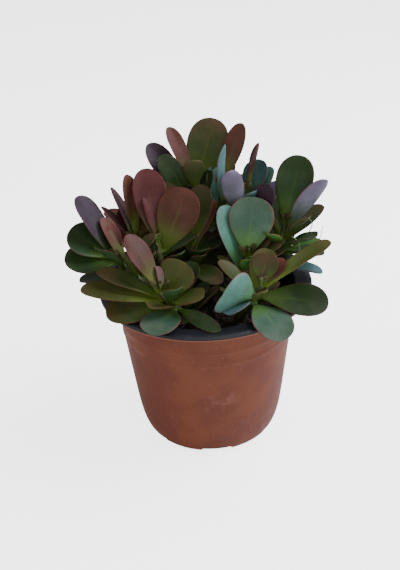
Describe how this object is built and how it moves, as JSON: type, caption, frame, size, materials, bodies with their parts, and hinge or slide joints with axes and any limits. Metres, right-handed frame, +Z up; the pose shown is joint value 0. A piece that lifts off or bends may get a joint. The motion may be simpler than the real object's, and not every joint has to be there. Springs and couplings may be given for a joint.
{
  "type": "potted trailing jade",
  "caption": "Young trailing jade with fleshy rounded leaves on short stems, growing in a round nursery pot with a wide flat rim.",
  "frame": {"origin": "centre of the pot's flat base, on the surface that the pot stands on", "axes": "+Z up along the pot's axis, -Y towards the front of the plant, +X to its right"},
  "size_m": [0.1436, 0.1357, 0.1718],
  "materials": {
    "pot": "thermoformed nursery plastic, terracotta outside and black inside",
    "potting_mix": "dark crumbly potting mix",
    "stem": "smooth green succulent stem, browner near its foot",
    "leaf_green": "fleshy deep green leaf with a thin reddish margin",
    "leaf_olive": "fleshy yellow-green leaf, flushed bronze near its tip",
    "leaf_bronze": "fleshy leaf flushed red-brown over green",
    "leaf_glaucous": "fleshy leaf under a pale blue-green waxy bloom",
    "leaf_lilac": "fleshy leaf whose outer face has a lilac waxy bloom"
  },
  "bodies": {
    "root": {"pot": "pot", "potting_mix": "potting_mix", "stem_front_left": "stem", "stem_left": "stem", "stem_upper_left": "stem", "stem_centre_left": "stem", "stem_centre": "stem", "stem_back": "stem", "stem_centre_back": "stem", "stem_back_right": "stem", "stem_centre_right": "stem", "stem_right": "stem", "stem_front_right": "stem", "stem_rear_left": "stem", "stem_rear_right": "stem", "leaf_front_left_1": "leaf_olive", "leaf_front_left_2": "leaf_olive", "leaf_front_left_3": "leaf_olive", "leaf_front_left_4": "leaf_green", "leaf_left_1": "leaf_lilac", "leaf_left_2": "leaf_green", "leaf_left_3": "leaf_green", "leaf_upper_left_1": "leaf_olive", "leaf_upper_left_2": "leaf_bronze", "leaf_centre_left_1": "leaf_bronze", "leaf_centre_left_2": "leaf_bronze", "leaf_centre_1": "leaf_bronze", "leaf_back_1": "leaf_bronze", "leaf_back_2": "leaf_olive", "leaf_back_3": "leaf_bronze", "leaf_back_4": "leaf_green", "leaf_back_5": "leaf_lilac", "leaf_centre_back_1": "leaf_bronze", "leaf_centre_back_2": "leaf_glaucous", "leaf_centre_back_3": "leaf_glaucous", "leaf_back_right_1": "leaf_bronze", "leaf_back_right_2": "leaf_glaucous", "leaf_back_right_3": "leaf_glaucous", "leaf_back_right_4": "leaf_lilac", "leaf_back_right_5": "leaf_bronze", "leaf_centre_right_1": "leaf_green", "leaf_centre_right_2": "leaf_glaucous", "leaf_right_1": "leaf_green", "leaf_right_2": "leaf_lilac", "leaf_right_3": "leaf_olive", "leaf_right_4": "leaf_green", "leaf_front_right_1": "leaf_olive", "leaf_front_right_2": "leaf_olive", "leaf_front_right_3": "leaf_green", "leaf_front_right_4": "leaf_glaucous", "leaf_front_right_5": "leaf_green", "leaf_rear_left_1": "leaf_green", "leaf_rear_left_2": "leaf_bronze", "leaf_rear_left_3": "leaf_olive", "leaf_rear_left_4": "leaf_green", "leaf_rear_right_1": "leaf_green", "leaf_rear_right_2": "leaf_glaucous", "leaf_rear_right_3": "leaf_green", "leaf_rear_right_4": "leaf_green", "leaf_rear_right_5": "leaf_green"}
  },
  "joints": []
}
